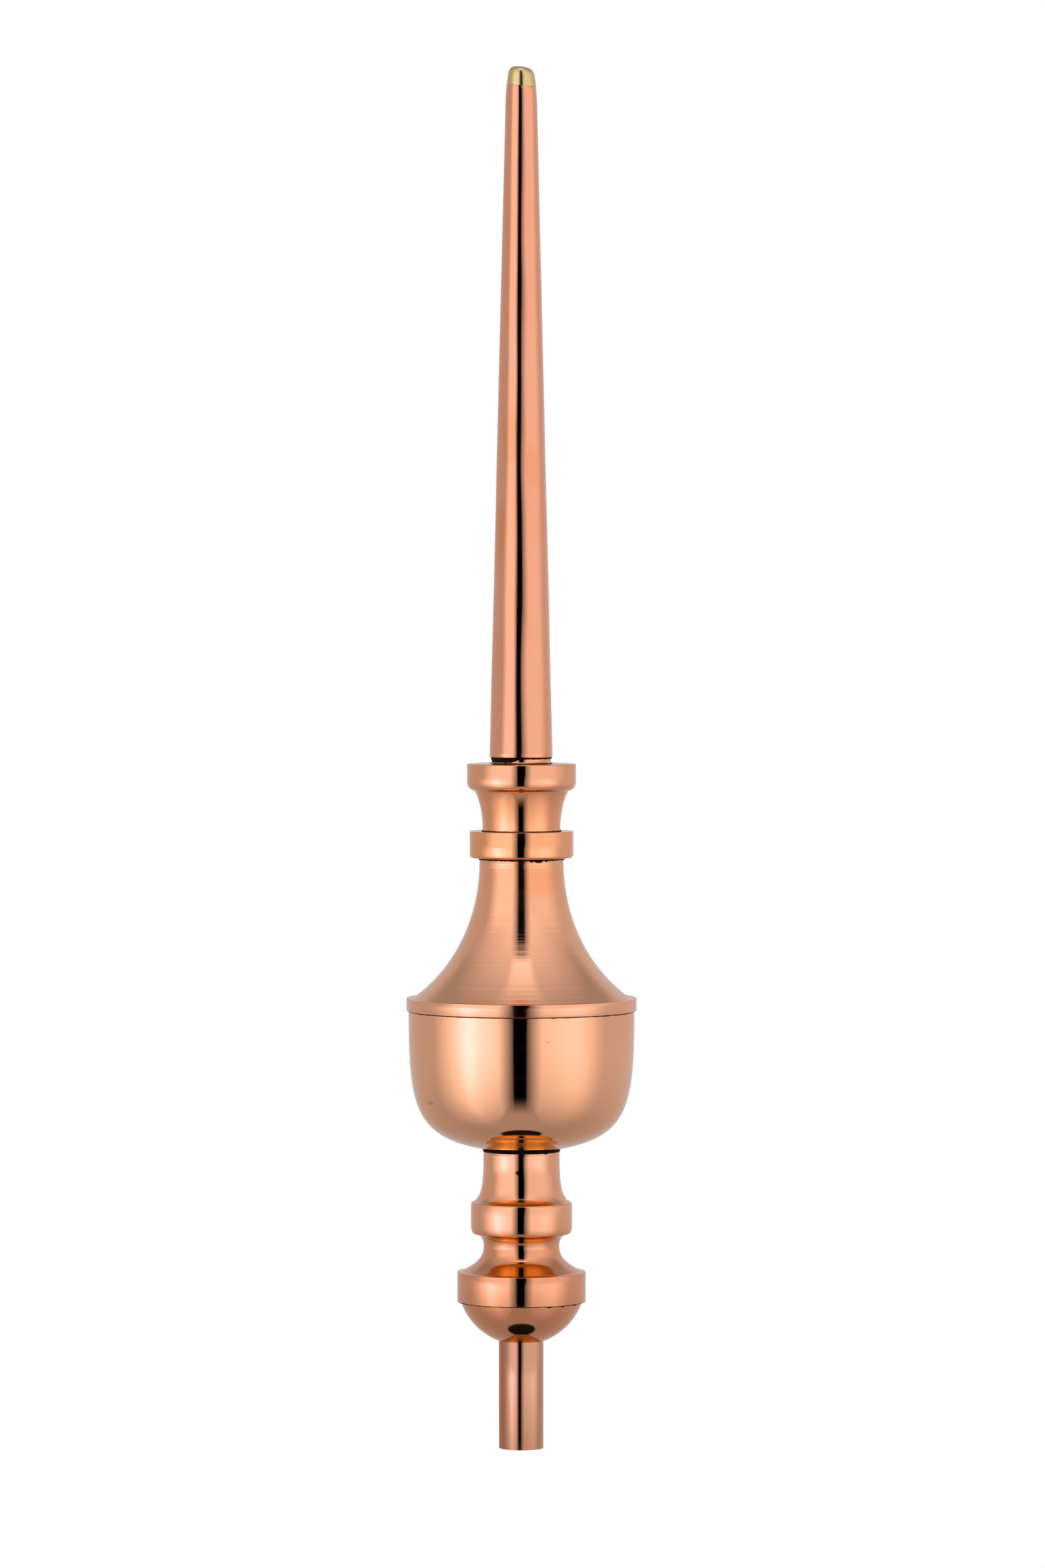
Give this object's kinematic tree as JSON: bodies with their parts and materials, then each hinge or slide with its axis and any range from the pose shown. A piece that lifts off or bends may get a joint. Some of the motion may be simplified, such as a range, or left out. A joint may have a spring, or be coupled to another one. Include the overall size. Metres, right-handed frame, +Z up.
{
  "type": "roof finial",
  "caption": "Slender spun copper roof finial: tapered spire with a brass tip, moulded collar and ring, bell over a round bowl, baluster with a half ball, and a mounting tube.",
  "frame": {"origin": "centre of the tube's lower end, where the roof's fixing holds it", "axes": "+Z up along the finial's axis, from the tube to the tip; the finial is the same all round"},
  "size_m": [0.1142, 0.1142, 0.6858],
  "materials": {
    "polished_copper": "mirror-polished bare copper, a warm orange pink",
    "satin_copper": "bare copper with fine spinning lines, duller than the polished pieces",
    "brass": "polished yellow brass"
  },
  "bodies": {
    "root": {"stem": "polished_copper", "half_ball": "satin_copper", "baluster": "polished_copper", "bowl": "polished_copper", "bell": "satin_copper", "ring": "polished_copper", "collar": "polished_copper", "spire": "polished_copper", "tip_cap": "brass"}
  },
  "joints": []
}
